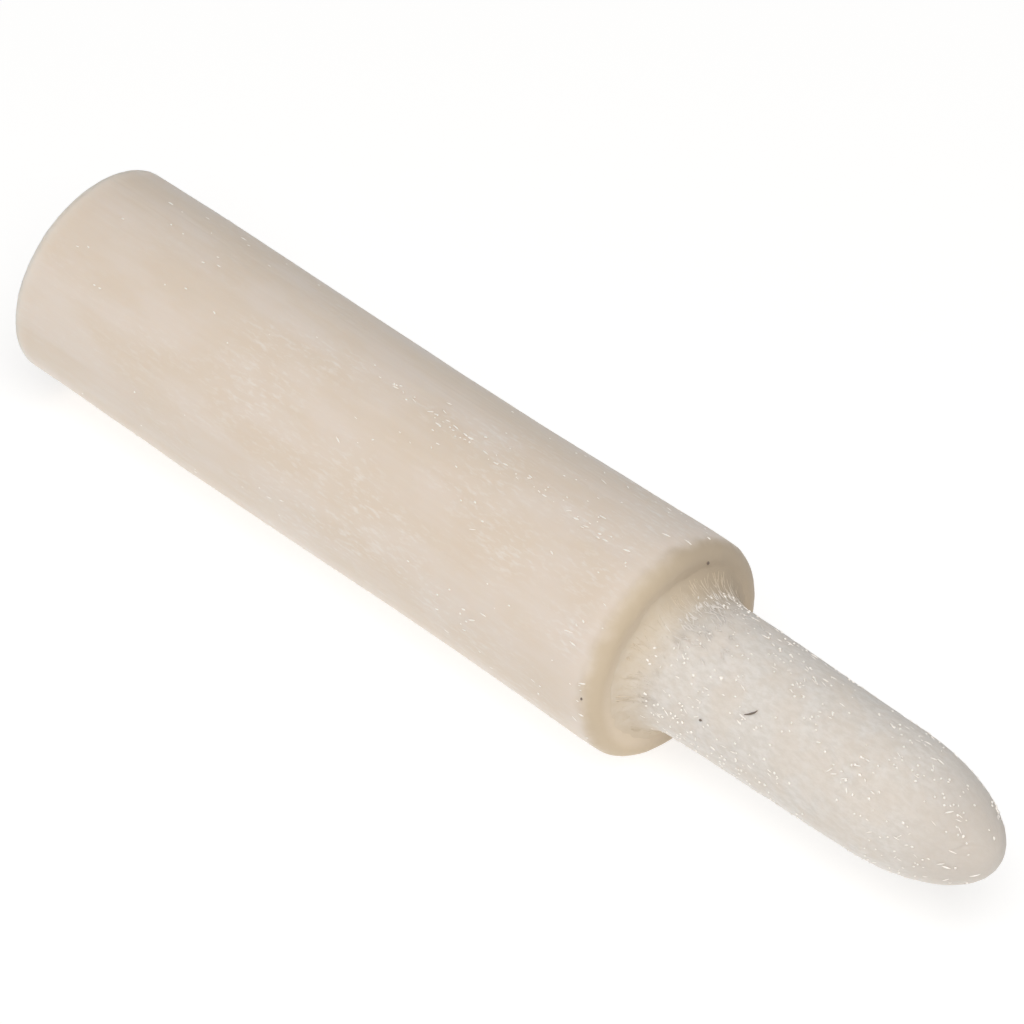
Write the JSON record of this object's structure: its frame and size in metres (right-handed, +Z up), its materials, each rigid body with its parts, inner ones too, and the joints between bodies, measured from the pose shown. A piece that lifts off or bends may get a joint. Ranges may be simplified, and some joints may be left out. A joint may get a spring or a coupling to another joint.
{
  "type": "bonded-fibre blending nib",
  "caption": "Bonded-fibre blending nib with a thick, slightly tapered round body, a rounded shoulder and a thinner round-nosed tip.",
  "frame": {"origin": "centre of the rear end face", "axes": "+X along the nib, from the rear face toward the tip; +Z up; the nib lies on its side"},
  "size_m": [0.0206, 0.004, 0.004],
  "materials": {
    "sleeve_fibre": "satin, resin-rich bonded fibre",
    "core_fibre": "ground fibre ends, matte",
    "frayed_fibre": "loose frayed fibre, matte"
  },
  "bodies": {
    "root": {"body_sleeve": "sleeve_fibre", "fibre_core": "core_fibre", "neck_fuzz": "frayed_fibre"}
  },
  "joints": []
}
